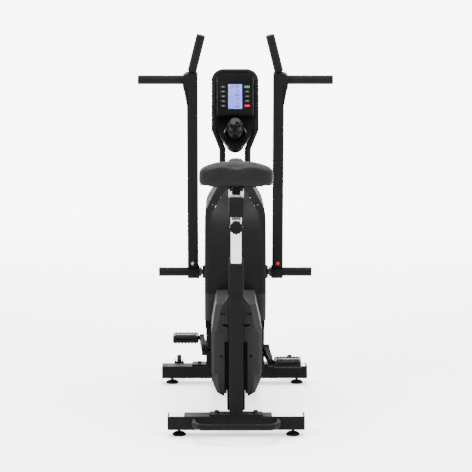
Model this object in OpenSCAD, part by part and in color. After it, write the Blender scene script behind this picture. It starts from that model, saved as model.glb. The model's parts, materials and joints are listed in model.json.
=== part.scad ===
// Air bike: a fan-resistance exercise bike with two swinging handle arms.
// +X is the rider's right, +Y is forward, +Z is up. The origin is on the floor under the middle.

/* [Base] */
// Distance between the rear faces of the two stabilizers
wheelbase = 1030; // [1020:1:1040]
// Length of the rear stabilizer across the bike
rear_stabilizer_w = 500; // [480:1:520]
// Length of the front stabilizer across the bike
front_stabilizer_w = 600; // [590:1:620]
// Depth of each stabilizer, front to back
stabilizer_d = 90; // [88:1:92]
// Height of each stabilizer tube
stabilizer_h = 50; // [46:1:52]
// Height of the stabilizers above the floor
floor_gap = 27; // [25:1:30]
// Reach of the lifting handle behind the rear stabilizer
handle_reach = 118; // [100:1:125]

/* [Fan drum] */
// Distance of the fan axle ahead of the rear stabilizer's rear face
fan_ahead = 850; // [848:1:852]
// Height of the fan axle
fan_z = 505; // [504:1:506]
// Radius of the drum casing
drum_r = 385; // [383:1:386]
// Half the width of the drum casing
drum_half_w = 118; // [117.5:0.5:119]
// Radius of the fan wheel
fan_r = 280; // [260:1:283]

/* [Drive] */
// Distance of the crank axle ahead of the rear stabilizer's rear face
crank_ahead = 360; // [359:1:361]
// Height of the crank axle
crank_z = 262; // [261:1:263]
// Length of a crank arm between its two axles
crank_length = 170; // [165:1:172]
// Angle of the left crank arm above the forward direction
crank_tilt = 6.2; // [0:0.1:8]
// Running radius of the large belt pulley
pulley_r = 100; // [95:1:102]
// Running radius of the small belt pulley
fan_pulley_r = 20; // [19:1:21]
// Throw of the eccentric that drives a handle arm
eccentric_throw = 20; // [18:0.5:20]

/* [Handle arms] */
// Distance of the arm pivot ahead of the rear stabilizer's rear face
pivot_ahead = 575; // [573:1:577]
// Height of the arm pivot
pivot_z = 533; // [531:1:535]
// Lean of the arms towards the rider at rest
arm_lean = 9.5; // [8:0.5:10]
// Outer reach of the side grips from the middle
grip_reach = 369; // [350:1:380]
// Radius of the foam grips
grip_r = 17; // [16:0.5:18]

/* [Seat] */
// Height of the top of the seat tube at its rear edge
seat_tube_top = 634; // [630:1:640]
// Width of the saddle
saddle_w = 268; // [260:1:270]
// Length of the saddle
saddle_l = 265; // [255:1:275]
// Height of the underside of the saddle
saddle_z = 918; // [916:1:920]

/* [Console] */
// Distance of the console's bend ahead of the rear stabilizer's rear face
console_ahead = 640; // [638:1:642]
// Height of the console's bend
console_z = 1082; // [1080:1:1084]
// Tilt of the console face away from the rider
console_tilt = 25; // [22:1:28]
// Spacing of the console keys down the panel
key_pitch = 19.8; // [18:0.1:20]

/* [Hidden] */
$fn = 64;

// The whole length runs from the lifting handle to the front of the drum.
overall_l = handle_reach + fan_ahead + drum_r;
rear_y = handle_reach - overall_l / 2;
function ahead(d) = rear_y + d;
front_ahead = wheelbase + stabilizer_d / 2;
stabilizer_top = floor_gap + stabilizer_h;
plate_t = 8;
plate_top = stabilizer_top + plate_t;
tube_wall = 3;
foot_inset = 42;

// Seat mast: the lower column, the wider seat tube on it, and the post that slides inside both.
column_w = 50;
column_d = 58;
column_ahead = 35;
column_top = 528;
seat_tube_w = 52.5;
seat_tube_d = 62;
post_w = 37.5;
post_d = 46;
post_bottom = 400;
rail_z = 796;
rail_w = 40;
rail_h = 40;
carriage_bottom = 812;
carriage_h = 69;
carriage_w = 52;
slide_knob_z = 770;
height_pin_z = 590;
saddle_rear = -50;

// Frame around the fan.
leg_in = 92;
leg_t = 22;
leg_out = leg_in + leg_t;
beam_w = 66;
beam_h = 60;
beam_z = plate_top + 3;
yoke_ahead = 640;
boss_r = 25;
boss_out = 127;
shaft_r = 11;
bearing_r = 17;
fan_axle_r = 10;

// Handle arm linkage: a lever inside the frame, a rod, and an eccentric on the crank.
spindle_r = 10;
running = 0.05;
rod_in = 70;
rod_t = 8;
lever_in = 79;
lever_t = 8;
lever_length = 90;
lever_angle = -38;
lever_end = [pivot_ahead + lever_length * cos(lever_angle), pivot_z + lever_length * sin(lever_angle)];
rod_heading = atan2(lever_end[1] - crank_z, lever_end[0] - crank_ahead);
function eccentric_at(side) = [crank_ahead + side * eccentric_throw * cos(rod_heading - 90),
    crank_z + side * eccentric_throw * sin(rod_heading - 90)];
eccentric_r = 34;

// Belt plane, on the rider's right.
belt_in = 54;
belt_w = 16;
belt_t = 4;
belt_gap = 0.3;

// Drum casing.
drum_wall = 3;
drum_rim_r = 22;
drum_cut_z = 190;
drum_step_z = 352;
drum_low_half_w = 89.5;
vault_side_z = 745;
vault_side_r = 90;
vault_crest_r = 75;
vault_slope = 30;
side_opening_r = 235;
rear_panel_half_w = 92;
rear_panel_bottom = 461;

// Console.
loop_half_w = 79.5;
loop_r = 12.5;
loop_height = 241;
mast_half_w = 49.5;
cup_tilt = 40;
cup_ahead = 620;
cup_mouth_z = 1065;
cup_r = 36;
bottle_r = 31;
face_y = -48;
panel_v = 123;
key_v = 118;

// ---------- shared shapes ----------

module round_rect(w, h, r) {
    square([w - 2 * r, h], center = true);
    square([w, h - 2 * r], center = true);
    for (x = [-1, 1], y = [-1, 1])
        translate([x * (w / 2 - r), y * (h / 2 - r)]) circle(r);
}

// A profile drawn in Y and Z, extruded along X from x0 to x1
module slab(x0, x1) {
    translate([x0, 0, 0]) rotate([90, 0, 90]) linear_extrude(x1 - x0) children();
}

// A profile drawn in X and Z, extruded along Y between two distances ahead
module extrude_y(d0, d1) {
    translate([0, ahead(d1), 0]) rotate([90, 0, 0]) linear_extrude(d1 - d0) children();
}

// A cylinder along X
module x_rod(x0, x1, d, z, r) {
    translate([x0, ahead(d), z]) rotate([0, 90, 0]) cylinder(r = r, h = x1 - x0);
}

// A cylinder along Y
module y_rod(x, d0, d1, z, r) {
    translate([x, ahead(d0), z]) rotate([-90, 0, 0]) cylinder(r = r, h = d1 - d0);
}

// A round bar from point p to point q
module bar(p, q, r) {
    v = q - p;
    translate(p) rotate([0, acos(v[2] / norm(v)), atan2(v[1], v[0])]) cylinder(r = r, h = norm(v));
}

function unit(v) = v / norm(v);
function turn_at(points, i) = let (u = unit(points[i] - points[i - 1]), w = unit(points[i + 1] - points[i]))
    atan2(u[0] * w[1] - u[1] * w[0], u[0] * w[0] + u[1] * w[1]);
function bend_length(points, bend, i) = i == 0 || i == len(points) - 1 ? 0
    : bend * tan(abs(turn_at(points, i)) / 2);

// A round tube along a path in the XY plane, with a smooth bend at each inner point.
// The straight lengths run 2 mm into the bends.
module bent_tube(points, bend, r) {
    for (i = [0 : len(points) - 2]) {
        u = unit(points[i + 1] - points[i]);
        p = points[i] + u * (i == 0 ? 0 : bend_length(points, bend, i) - 2);
        q = points[i + 1] - u * (i == len(points) - 2 ? 0 : bend_length(points, bend, i + 1) - 2);
        bar([p[0], p[1], 0], [q[0], q[1], 0], r - 0.2);
    }
    for (i = [1 : len(points) - 2]) {
        t = turn_at(points, i);
        u = unit(points[i] - points[i - 1]);
        side = t > 0 ? [-u[1], u[0]] : [u[1], -u[0]];
        centre = points[i] - u * bend_length(points, bend, i) + side * bend;
        start = atan2(-side[1], -side[0]) + min(t, 0);
        translate([centre[0], centre[1], 0]) rotate(start)
            rotate_extrude(angle = abs(t)) translate([bend, 0]) circle(r);
    }
}

// A flat strut between two points in Y and Z, with an eye a little wider than it at each end
module strut(a, b, w) {
    v = b - a;
    translate([ahead(a[0]), a[1]]) rotate(atan2(v[1], v[0]))
        translate([0, -w / 2]) square([norm(v), w]);
    translate([ahead(a[0]), a[1]]) circle(w / 2 + 1);
    translate([ahead(b[0]), b[1]]) circle(w / 2 + 1);
}

// ---------- base ----------

module stabilizer_tube(w) {
    rotate([90, 0, 90]) translate([0, 0, -w / 2]) linear_extrude(w) difference() {
        round_rect(stabilizer_d, stabilizer_h, 5);
        round_rect(stabilizer_d - 2 * tube_wall, stabilizer_h - 2 * tube_wall, 2);
    }
}

module stabilizer(w, centre_ahead, bolt_x) {
    difference() {
        translate([0, ahead(centre_ahead), floor_gap + stabilizer_h / 2]) stabilizer_tube(w - 8);
        for (x = [-1, 1]) {
            translate([x * (w / 2 - foot_inset), ahead(centre_ahead), floor_gap - 1])
                cylinder(r = 5.2, h = 10);
            translate([x * bolt_x, ahead(centre_ahead), stabilizer_top - 10])
                cylinder(r = 5.2, h = 20);
        }
    }
}

module rear_stabilizer() {
    color("#262626") stabilizer(rear_stabilizer_w, stabilizer_d / 2, 71);
}

module front_stabilizer() {
    color("#262626") stabilizer(front_stabilizer_w, front_ahead, 145);
}

module end_cap() {
    translate([0, 0, 0]) rotate([90, 0, 90]) linear_extrude(4)
        round_rect(stabilizer_d, stabilizer_h, 5);
    translate([-16, 0, 0]) rotate([90, 0, 90]) linear_extrude(16)
        round_rect(stabilizer_d - 2 * tube_wall - 0.4, stabilizer_h - 2 * tube_wall - 0.4, 2);
}

module stabilizer_caps() {
    color("#1b1b1b") for (s = [[rear_stabilizer_w, stabilizer_d / 2], [front_stabilizer_w, front_ahead]])
        for (x = [-1, 1])
            translate([0, ahead(s[1]), floor_gap + stabilizer_h / 2])
                mirror([x < 0 ? 1 : 0, 0, 0]) translate([s[0] / 2 - 4, 0, 0]) end_cap();
}

module levelling_foot() {
    cylinder(r = 25, h = 8);
    translate([0, 0, 8]) cylinder(r1 = 25, r2 = 15, h = 6);
    translate([0, 0, 14]) cylinder(r = 5, h = 26);
    translate([0, 0, 20]) cylinder(r = 10, h = floor_gap - 20, $fn = 6);
}

module levelling_feet() {
    color("#1a1a1a") for (s = [[rear_stabilizer_w, stabilizer_d / 2], [front_stabilizer_w, front_ahead]])
        for (x = [-1, 1])
            translate([x * (s[0] / 2 - foot_inset), ahead(s[1]), 0]) levelling_foot();
}

module base_bolt() {
    translate([0, 0, -16]) cylinder(r = 5, h = 16);
    cylinder(r = 11, h = 2);
    translate([0, 0, 2]) cylinder(r = 8.5, h = 6, $fn = 6);
}

module fasteners() {
    color("#3a3a3a") {
        for (x = [-71, 71]) translate([x, ahead(stabilizer_d / 2), plate_top]) base_bolt();
        for (x = [-145, 145]) translate([x, ahead(front_ahead), plate_top]) base_bolt();
    }
}

module lift_handle() {
    reach = handle_reach - 11.5;
    half = [[153, ahead(1)], [148, ahead(-70)], [128, ahead(-reach)]];
    other = [for (i = [len(half) - 1 : -1 : 0]) [-half[i][0], half[i][1]]];
    color("#222222") translate([0, 0, 60]) bent_tube(concat(half, other), 24, 11.5);
}

wheel_ahead = wheelbase + stabilizer_d + 36;
wheel_z = 73;
wheel_x = 231;

module wheel_bracket() {
    for (x = [-17, 13]) translate([x, ahead(wheelbase + stabilizer_d), wheel_z - 16])
        cube([4, 34, 32]);
    for (x = [-17, 13]) x_rod(x, x + 4, wheel_ahead, wheel_z, 14);
    x_rod(-20, 20, wheel_ahead, wheel_z, 5);
}

module wheel_brackets() {
    color("#2a2a2a") for (x = [-wheel_x, wheel_x]) translate([x, 0, 0]) wheel_bracket();
}

module transport_wheel() {
    difference() {
        union() {
            x_rod(-9, 9, wheel_ahead, wheel_z, 30);
            x_rod(-6, 6, wheel_ahead, wheel_z, 32);
        }
        x_rod(-10, 10, wheel_ahead, wheel_z, 5 + running);
        for (x = [-9.5, 6.5]) difference() {
            x_rod(x, x + 3, wheel_ahead, wheel_z, 24);
            x_rod(x - 1, x + 4, wheel_ahead, wheel_z, 10);
        }
    }
}

module left_wheel() {
    color("#1c1c1c") translate([-wheel_x, 0, 0]) transport_wheel();
}

module right_wheel() {
    color("#1c1c1c") translate([wheel_x, 0, 0]) transport_wheel();
}

// ---------- main frame ----------

module rear_column() {
    color("#242424") difference() {
        union() {
            translate([0, ahead(column_ahead), plate_top]) linear_extrude(column_top - plate_top)
                round_rect(column_w, column_d, 4);
            translate([-97, ahead(4), stabilizer_top]) cube([194, 60, plate_t]);
        }
        translate([0, ahead(column_ahead), plate_top]) linear_extrude(column_top)
            round_rect(column_w - 2 * tube_wall, column_d - 2 * tube_wall, 2);
        for (x = [-71, 71]) translate([x, ahead(stabilizer_d / 2), stabilizer_top - 1])
            cylinder(r = 5.2, h = plate_t + 2);
        // The notch under the seat tube
        extrude_y(column_ahead - column_d / 2 - 1, column_ahead - column_d / 2 + 2)
            polygon([[-17, column_top + 1], [17, column_top + 1], [0, column_top - 17]]);
    }
}

module seat_tube() {
    front = column_ahead + seat_tube_d / 2;
    slant = 20;
    color("#242424") difference() {
        union() {
            translate([0, ahead(column_ahead), column_top])
                linear_extrude(seat_tube_top + slant - column_top)
                    round_rect(seat_tube_w, seat_tube_d, 4);
            y_rod(0, front - 2, front + 10, height_pin_z, 12);
        }
        translate([0, ahead(column_ahead), column_top - 1]) linear_extrude(seat_tube_top - column_top - 34)
            round_rect(seat_tube_w - 2 * tube_wall, seat_tube_d - 2 * tube_wall, 2);
        translate([0, ahead(column_ahead), column_top]) linear_extrude(seat_tube_top)
            round_rect(post_w + 0.6, post_d + 0.6, 4.3);
        // The top is cut on a slant, higher at the front
        slab(-40, 40) translate([ahead(column_ahead - seat_tube_d / 2), seat_tube_top])
            polygon([[-1, 0], [seat_tube_d + 1, slant], [seat_tube_d + 1, slant + 5], [-1, slant + 5]]);
        y_rod(0, 50, front + 12, height_pin_z, 5 + running);
    }
}

module main_beam() {
    front = column_ahead + column_d / 2;
    color("#232323") difference() {
        union() {
            extrude_y(front, yoke_ahead) translate([0, beam_z + beam_h / 2])
                round_rect(beam_w, beam_h, 6);
            translate([-leg_in, ahead(yoke_ahead), beam_z]) cube([2 * leg_in, 50, beam_h]);
            translate([-16, ahead(crank_ahead - 25), beam_z + beam_h - 1])
                cube([32, 50, crank_z - beam_z - beam_h - 20]);
            x_rod(-beam_w / 2, beam_w / 2, crank_ahead, crank_z, 26);
        }
        extrude_y(front - 1, yoke_ahead - 8) translate([0, beam_z + beam_h / 2])
            round_rect(beam_w - 2 * tube_wall, beam_h - 2 * tube_wall, 3);
        x_rod(-beam_w / 2 - 1, beam_w / 2 + 1, crank_ahead, crank_z, 20);
    }
}

// Side frame of the fork, drawn in Y and Z
module leg_outline() {
    pivot = [pivot_ahead, pivot_z];
    fan = [fan_ahead, fan_z];
    foot = [front_ahead, stabilizer_top + 25];
    yoke = [yoke_ahead + 25, beam_z + beam_h / 2];
    difference() {
        union() {
            strut(yoke, pivot, 40);
            strut(pivot, fan, 40);
            strut(fan, foot, 44);
            strut(yoke, foot, 36);
            strut(fan, [fan_ahead - 50, 715], 32);
            translate([ahead(fan_ahead), fan_z]) circle(32);
        }
        translate([ahead(front_ahead) - 80, stabilizer_top - 40]) square([160, 40 + plate_t]);
    }
}

module fork_leg() {
    difference() {
        union() {
            slab(leg_in, leg_out) leg_outline();
            translate([leg_in, ahead(front_ahead - 36), stabilizer_top]) cube([83, 72, plate_t]);
            x_rod(leg_in, boss_out, pivot_ahead, pivot_z, boss_r);
        }
        x_rod(leg_in - 1, boss_out + 1, pivot_ahead, pivot_z, bearing_r);
        x_rod(leg_in - 1, leg_out + 1, fan_ahead, fan_z, fan_axle_r);
        translate([145, ahead(front_ahead), stabilizer_top - 1]) cylinder(r = 5.2, h = plate_t + 2);
    }
}

module left_fork_leg() {
    color("#222222") mirror([1, 0, 0]) fork_leg();
}

module right_fork_leg() {
    color("#222222") fork_leg();
}

module ring(x0, x1, d, z, outer, inner) {
    difference() {
        x_rod(x0, x1, d, z, outer);
        x_rod(x0 - 1, x1 + 1, d, z, inner);
    }
}

module bearing_rings() {
    color("#9a9a9a") {
        for (x = [-beam_w / 2, beam_w / 2 - 12]) ring(x, x + 12, crank_ahead, crank_z, 20, spindle_r + running);
        for (s = [0, 1]) mirror([s, 0, 0]) {
            ring(leg_in, leg_in + 10, pivot_ahead, pivot_z, bearing_r, shaft_r + running);
            ring(boss_out - 10, boss_out, pivot_ahead, pivot_z, bearing_r, shaft_r + running);
        }
    }
}

module fan_axle() {
    color("#8c8c8c") {
        x_rod(-leg_out, leg_out, fan_ahead, fan_z, fan_axle_r);
        for (s = [0, 1]) mirror([s, 0, 0])
            translate([leg_in - 8, ahead(fan_ahead), fan_z]) rotate([0, 90, 0])
                cylinder(r = 17, h = 8, $fn = 6);
    }
}

// ---------- fan drum ----------

// The drum as a disc with rounded rims, grown inward by inset
module drum_disc(inset) {
    r = drum_r - inset;
    h = drum_half_w - inset;
    rim = [for (a = [0 : 15 : 90]) [r - drum_rim_r + drum_rim_r * sin(a), h - drum_rim_r + drum_rim_r * cos(a)]];
    lower = [for (i = [len(rim) - 1 : -1 : 0]) [rim[i][0], -rim[i][1]]];
    translate([0, ahead(fan_ahead), fan_z]) rotate([0, 90, 0])
        rotate_extrude($fn = 160) polygon(concat([[0, h]], rim, lower, [[0, -h]]));
}

// Half of the arched outline seen from behind, from its side up to its crest
function half_arch(inset, drop) =
    let (w = drum_half_w - inset,
         r1 = vault_side_r - inset,
         r2 = vault_crest_r - inset,
         side = [for (a = [0 : 10 : vault_slope]) [w - r1 + r1 * cos(a), vault_side_z - drop + r1 * sin(a)]],
         last = side[len(side) - 1],
         crest_x = r2 * cos(vault_slope),
         crest_z = last[1] + (last[0] - crest_x) / tan(vault_slope) - r2 * sin(vault_slope),
         crest = [for (a = [vault_slope : 10 : 90]) [r2 * cos(a), crest_z + r2 * sin(a)]])
    concat(side, crest);

module arch_outline(inset, drop, bottom) {
    half = half_arch(inset, drop);
    other = [for (i = [len(half) - 2 : -1 : 0]) [-half[i][0], half[i][1]]];
    w = drum_half_w - inset;
    polygon(concat([[w, bottom]], half, other, [[-w, bottom]]));
}

// The drum is narrower below the step, so that the side frames stand outside it
module drum_body(inset) {
    intersection() {
        drum_disc(inset);
        extrude_y(fan_ahead - drum_r - 10, fan_ahead + drum_r + 10) union() {
            arch_outline(inset, 0, drum_step_z + inset);
            translate([-drum_low_half_w + inset, drum_cut_z - 1])
                square([2 * (drum_low_half_w - inset), drum_step_z - drum_cut_z + inset + 2]);
        }
    }
}

module drum_shell() {
    difference() {
        drum_body(0);
        drum_body(drum_wall);
        translate([-200, ahead(fan_ahead - 400), drum_cut_z - 400]) cube([400, 800, 400]);
    }
}

// Where the smooth rear panel sits, grown by a clearance
module rear_panel_zone(grow) {
    extrude_y(fan_ahead - drum_r - 5, fan_ahead - 120) intersection() {
        arch_outline(8 - grow, 40 - grow, rear_panel_bottom - grow);
        translate([-rear_panel_half_w - grow, rear_panel_bottom - grow])
            square([2 * (rear_panel_half_w + grow), 500]);
    }
}

slot_pitch = 26;
module drum_vents() {
    // Slots across the crest
    for (i = [0 : 6], x = [-1, 1])
        translate([x * 40 - 34, ahead(fan_ahead - 78 + (i < 1 ? 0 : slot_pitch * i)), 800]) cube([68, 11, 120]);
    // Slots down the front
    for (a = [-52 : 8 : 44])
        translate([0, ahead(fan_ahead), fan_z]) rotate([a, 0, 0])
            for (x = [-1, 1]) translate([x * 46 - 38, drum_r - 12, -8]) cube([76, 20, 12]);
}

module side_opening() {
    x_rod(80, 130, fan_ahead, fan_z, side_opening_r);
    x_rod(80, 130, pivot_ahead, pivot_z, boss_r + 0.5);
}

module drum_half() {
    difference() {
        intersection() {
            drum_shell();
            translate([0.2, ahead(fan_ahead - 400), rear_panel_bottom]) cube([200, 800, 1000]);
        }
        rear_panel_zone(0.4);
        drum_vents();
        side_opening();
        // Passage for the console mast
        translate([34, ahead(724), 855]) cube([31, 76, 60]);
    }
    side_grille();
}

// The part of the drum below the seam, both sides
module lower_shroud() {
    color("#38383a") difference() {
        intersection() {
            drum_shell();
            translate([-200, ahead(fan_ahead - 400), 0]) cube([400, 800, rear_panel_bottom - 0.4]);
        }
        drum_vents();
        side_opening();
        mirror([1, 0, 0]) side_opening();
        // Opening behind the drive guard for the belt and the rods
        translate([-84, ahead(fan_ahead - 400), drum_cut_z - 1]) cube([168, 250, 425 - drum_cut_z]);
        // Gaps for the side frames
        for (x = [-115, 90.5], d = [[588, 646], [905, 975]])
            translate([x, ahead(d[0]), drum_step_z - 6]) cube([24.5, d[1] - d[0], 18]);
    }
}

module shroud_left() {
    color("#2d2d2f") mirror([1, 0, 0]) drum_half();
}

module shroud_right() {
    color("#2d2d2f") drum_half();
}

module shroud_rear_panel() {
    color("#343437") intersection() {
        drum_shell();
        rear_panel_zone(0);
    }
}

module side_grille() {
    x0 = drum_half_w - drum_wall;
    x1 = drum_half_w;
    difference() {
        union() {
            for (r = [side_opening_r : -44 : 60]) ring(x0, x1, fan_ahead, fan_z, r, r - 8);
            x_rod(x0, x1, fan_ahead, fan_z, 50);
            for (a = [0 : 30 : 330]) translate([x0, ahead(fan_ahead), fan_z]) rotate([a, 0, 0])
                translate([0, 40, -3]) cube([x1 - x0, side_opening_r - 45, 6]);
        }
        x_rod(80, 130, pivot_ahead, pivot_z, boss_r + 0.5);
    }
}

module fan_blade() {
    difference() {
        translate([-62, 26, -1.25]) cube([106, fan_r - 30, 2.5]);
        translate([-70, 60, -5]) rotate([0, 0, 0]) cube([24, 60, 10]);
        translate([28, 60, -5]) cube([24, 60, 10]);
    }
}

module fan_wheel() {
    color("#3c3c40") difference() {
        union() {
            x_rod(-64, 46, fan_ahead, fan_z, 30);
            x_rod(46, belt_in, fan_ahead, fan_z, 18);
            x_rod(belt_in, belt_in + belt_w, fan_ahead, fan_z, fan_pulley_r);
            for (a = [0 : 30 : 330]) translate([0, ahead(fan_ahead), fan_z]) rotate([a, 0, 0]) fan_blade();
            ring(-12, -8, fan_ahead, fan_z, 200, 150);
            ring(-62, -58, fan_ahead, fan_z, fan_r, fan_r - 14);
            ring(40, 44, fan_ahead, fan_z, fan_r, fan_r - 14);
        }
        x_rod(-70, 80, fan_ahead, fan_z, fan_axle_r + running);
    }
}

// ---------- drive ----------

// Outline of a belt that wraps both pulleys at the given distance from them
function belt_points(gap) =
    let (r1 = pulley_r + gap,
         r2 = fan_pulley_r + gap,
         v = [fan_ahead - crank_ahead, fan_z - crank_z],
         along = atan2(v[1], v[0]),
         turn = acos((r1 - r2) / norm(v)),
         big = [for (i = [0 : 36]) let (a = along + turn + i * (360 - 2 * turn) / 36)
             [ahead(crank_ahead) + r1 * cos(a), crank_z + r1 * sin(a)]],
         small = [for (i = [0 : 18]) let (a = along - turn + i * 2 * turn / 18)
             [ahead(fan_ahead) + r2 * cos(a), fan_z + r2 * sin(a)]])
    concat(big, small);

module drive_belt() {
    color("#151515") slab(belt_in + 1, belt_in + belt_w - 1) difference() {
        polygon(belt_points(belt_gap + belt_t));
        polygon(belt_points(belt_gap));
    }
}

module crank_pulley() {
    color("#8f9296") difference() {
        x_rod(belt_in, belt_in + belt_w, crank_ahead, crank_z, pulley_r);
        x_rod(belt_in - 1, belt_in + 5, crank_ahead, crank_z, pulley_r - 8);
        x_rod(belt_in - 1, belt_in + belt_w + 1, crank_ahead, crank_z, spindle_r);
        for (a = [0 : 60 : 300]) translate([0, ahead(crank_ahead), crank_z]) rotate([a, 0, 0])
            translate([belt_in - 1, 70, 0]) rotate([0, 90, 0]) cylinder(r = 21, h = belt_w + 2);
    }
}

module crank_spindle() {
    e = [eccentric_at(1), eccentric_at(-1)];
    color("#a0a0a0") {
        x_rod(-128, 128, crank_ahead, crank_z, spindle_r);
        x_rod(rod_in, rod_in + rod_t, e[0][0], e[0][1], eccentric_r);
        x_rod(-rod_in - rod_t, -rod_in, e[1][0], e[1][1], eccentric_r);
    }
}

crank_in = 106;
crank_out = 128;
crank_flare = 14;
pedal_in = 143;
pedal_out = 241;

// One crank arm pointing forward from the crank axle, flared outward to clear the drum
module crank_arm() {
    difference() {
        intersection() {
            translate([crank_in - 2, 0, 0]) rotate([90, 0, 90]) linear_extrude(crank_flare + 30) union() {
                circle(21);
                polygon([[0, -16], [crank_length, -12], [crank_length, 12], [0, 16]]);
                translate([crank_length, 0]) circle(15);
            }
            translate([0, 0, -30]) linear_extrude(60) polygon([[crank_in, -25], [crank_out, -25],
                [crank_out, 22], [crank_out + 9, 140], [crank_out + 9, 190], [crank_in + crank_flare, 190],
                [crank_in + crank_flare, 140], [crank_in, 22]]);
        }
        translate([crank_in - 1, 0, 0]) rotate([0, 90, 0]) cylinder(r = spindle_r, h = 40);
    }
    translate([crank_out + 8, crank_length, 0]) rotate([0, 90, 0]) cylinder(r = 8, h = pedal_out - crank_out - 14);
    translate([crank_out + 8, crank_length, 0]) rotate([0, 90, 0]) cylinder(r = 11, h = 3);
}

// The right arm points backwards and down, the left one forwards and up
module crank_arms() {
    color("#1e1e1e") translate([0, ahead(crank_ahead), crank_z]) {
        rotate([180 + crank_tilt, 0, 0]) crank_arm();
        rotate([crank_tilt, 0, 0]) mirror([1, 0, 0]) crank_arm();
    }
}

function pedal_at(side) = [crank_ahead - side * crank_length * cos(crank_tilt),
    crank_z - side * crank_length * sin(crank_tilt)];

// Side view of a pedal, drawn in Y and Z
module pedal_outline(inset) {
    polygon([[-46 + inset, -10], [-40 + inset, -14 + inset], [40 - inset, -14 + inset], [46 - inset, -10],
        [46 - inset, 10], [40 - inset, 14 - inset], [-40 + inset, 14 - inset], [-46 + inset, 10]]);
}

module pedal_cage() {
    w = pedal_out - pedal_in;
    difference() {
        translate([pedal_in, 0, 0]) rotate([90, 0, 90]) linear_extrude(w) pedal_outline(0);
        // Two windows through the cage, one each side of the barrel
        for (y = [-1, 1]) translate([pedal_in + 8, y * 27 - 12, -20]) cube([w - 16, 24, 40]);
        // Long slots in the front and rear faces
        translate([pedal_in + 14, -50, -4]) cube([w - 28, 12, 8]);
        translate([pedal_in + 14, 38, -4]) cube([w - 28, 12, 8]);
        translate([pedal_out - 3, -34, -5]) cube([4, 22, 10]);
        translate([pedal_out - 3, 12, -5]) cube([4, 22, 10]);
    }
    // Grip teeth along both edges, above and below
    for (i = [0 : 6], y = [-43, 41], z = [-16.5, 12]) translate([pedal_in + 9 + i * 12.5, y, z]) cube([5, 2, 4.5]);
}

module pedal(side) {
    p = pedal_at(side);
    translate([0, ahead(p[0]), p[1]]) mirror([side < 0 ? 1 : 0, 0, 0]) difference() {
        union() {
            pedal_cage();
            translate([pedal_in - 2, 0, 0]) rotate([0, 90, 0]) cylinder(r = 15, h = 30);
        }
        translate([pedal_in - 3, 0, 0]) rotate([0, 90, 0])
            cylinder(r = 8 + running, h = pedal_out - pedal_in - 1);
    }
}

module left_pedal() {
    color("#161616") pedal(-1);
}

module right_pedal() {
    color("#161616") pedal(1);
}

module rod(side) {
    e = eccentric_at(side);
    v = lever_end - e;
    x0 = side > 0 ? rod_in : -rod_in - rod_t;
    slab(x0 + 0.5, x0 + rod_t - 0.5) translate([ahead(e[0]), e[1]]) rotate(atan2(v[1], v[0])) difference() {
        union() {
            circle(eccentric_r + 12);
            translate([0, -11]) square([norm(v), 22]);
            translate([norm(v), 0]) circle(16);
        }
        circle(eccentric_r + running);
        translate([norm(v), 0]) circle(8.3);
    }
}

module left_rod() {
    color("#55585c") rod(-1);
}

module right_rod() {
    color("#55585c") rod(1);
}

// ---------- drive guard ----------

// A solid through a stack of outlines that all have the same number of points
module loft(rings) {
    n = len(rings[0]);
    side = [for (i = [0 : len(rings) - 2], j = [0 : n - 1]) let (a = i * n + j, b = i * n + (j + 1) % n)
        each [[a, a + n, b], [b, a + n, b + n]]];
    polyhedron(points = [for (r = rings) each r],
        faces = concat([[for (j = [0 : n - 1]) j]], side,
            [[for (j = [n - 1 : -1 : 0]) (len(rings) - 1) * n + j]]));
}

// Heights of a guard half, with where its rear face turns and how wide it is there
function guard_levels(w) = [[137, 44, 46, 84], [150, 62, 70, 78], [180, 64, 83, 72],
    [198, 66, w - 4, 66], [223, 66, w - 3, 64], [226, w - 10, w - 1, 61],
    [375, w - 12, w, 60], [388, 71, w - 3, 62], [470, 54, 75, 68], [478, 58, 72, 74]];

function guard_ring(level, front, inset, z) = let (c = level[1] - inset / 2, o = level[2] - inset, r = level[3] + inset)
    [[20, ahead(r), z], [c, ahead(r), z], [o, ahead(r + max(6, 1.2 * (level[2] - level[1]))), z],
     [o, ahead(front), z], [20, ahead(front), z]];

module guard_solid(half_w, inset) {
    levels = guard_levels(half_w);
    last = len(levels) - 1;
    loft([for (i = [0 : last]) guard_ring(levels[i], 540 - inset, inset,
        levels[i][0] + (i == 0 ? inset : i == last ? -inset : 0))]);
}

module guard_half(half_w) {
    difference() {
        union() {
            difference() {
                guard_solid(half_w, 0);
                guard_solid(half_w, 3);
            }
            // Rib across the inside
            intersection() {
                guard_solid(half_w, 2);
                translate([20, ahead(140), beam_z + beam_h + 1]) cube([100, 3, 330]);
            }
            // Fin beside the column
            extrude_y(64, 92) polygon([[28, 462], [28, 512], [33, 500], [54, 474], [54, 462]]);
        }
        // Open towards the frame in the middle
        translate([-1, ahead(0), 0]) cube([29, 139, 700]);
        translate([-1, ahead(0), 0]) cube([43, 139, 343]);
        translate([-1, ahead(143), 0]) cube([30, 700, 700]);
        translate([-1, ahead(40), beam_z - 3]) cube([beam_w / 2 + 2, 600, beam_h + 3.5]);
        x_rod(-1, 130, crank_ahead, crank_z, 27);
        x_rod(-1, 130, fan_ahead, fan_z, drum_r + 3);
        // Way out for the belt in the front wall
        translate([-1, ahead(530), 200]) cube([86, 15, 130]);
        // Slit beside the column, screw hole, and a row of small vents
        extrude_y(40, 130) polygon([[27, 397], [44, 399], [56, 404], [44, 407], [27, 405]]);
        y_rod(54, 40, 130, 289, 5);
        for (i = [0 : 2]) translate([40 + i * 7, ahead(40), 440]) cube([4, 90, 9]);
    }
}

module left_drive_guard() {
    color("#38383a") mirror([1, 0, 0]) guard_half(91);
}

module right_drive_guard() {
    color("#38383a") guard_half(96);
}

// ---------- handle arms ----------

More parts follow.
